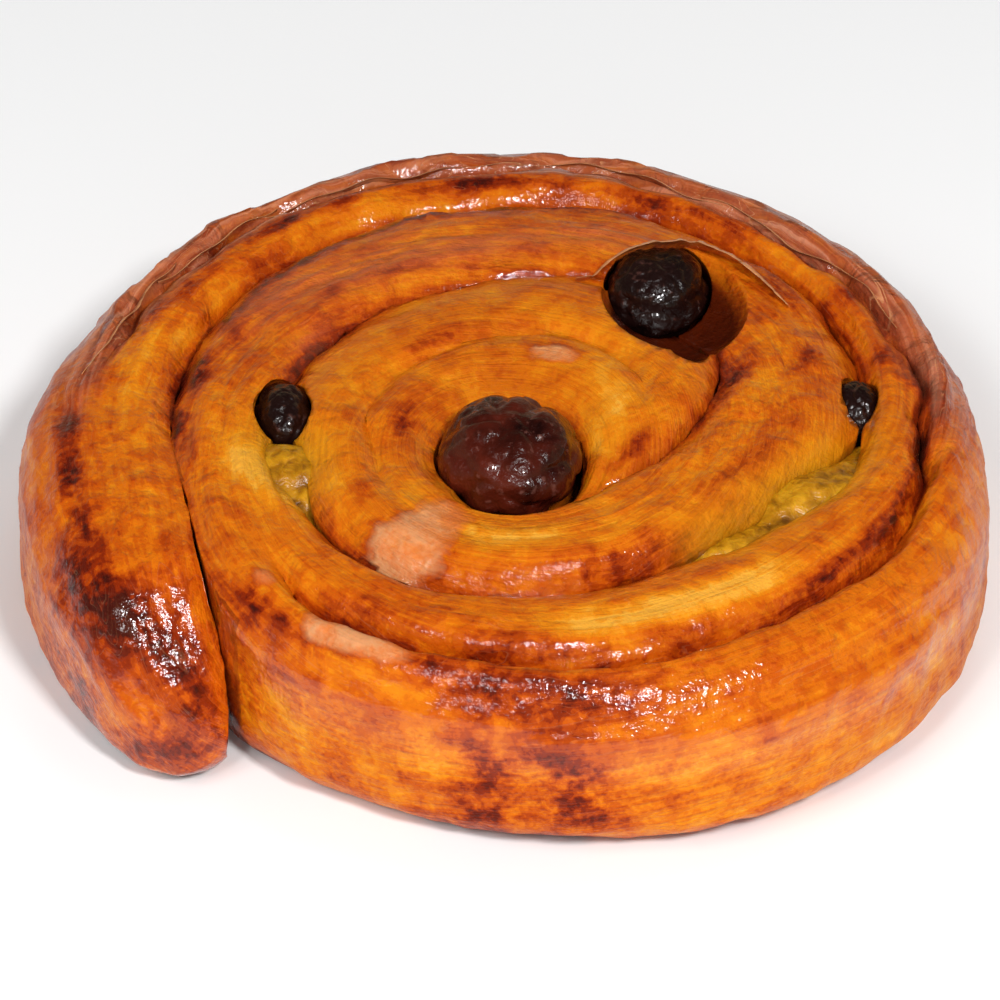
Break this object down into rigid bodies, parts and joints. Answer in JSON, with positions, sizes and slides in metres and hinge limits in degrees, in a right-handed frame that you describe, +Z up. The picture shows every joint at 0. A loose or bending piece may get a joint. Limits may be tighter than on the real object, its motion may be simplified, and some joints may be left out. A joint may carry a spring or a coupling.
{
  "type": "pain aux raisins",
  "caption": "Small glazed pain aux raisins: a spiral of laminated dough lying flat, with a loose outer end, custard in the creases and raisins in its top.",
  "frame": {"origin": "centre of the roll's outline, on the surface that it lies on", "axes": "+Z up through the top of the spiral, the loose outer end of the strip towards -X and -Y"},
  "size_m": [0.085, 0.0826, 0.022],
  "materials": {
    "baked_dough": "baked laminated dough under a thin glossy syrup glaze",
    "custard": "baked custard, moist",
    "raisin": "wrinkled dark raisin, glazed"
  },
  "bodies": {
    "root": {"dough": "baked_dough", "custard": "custard", "raisin_centre": "raisin", "raisin_back": "raisin", "raisin_left": "raisin", "raisin_right": "raisin"}
  },
  "joints": []
}
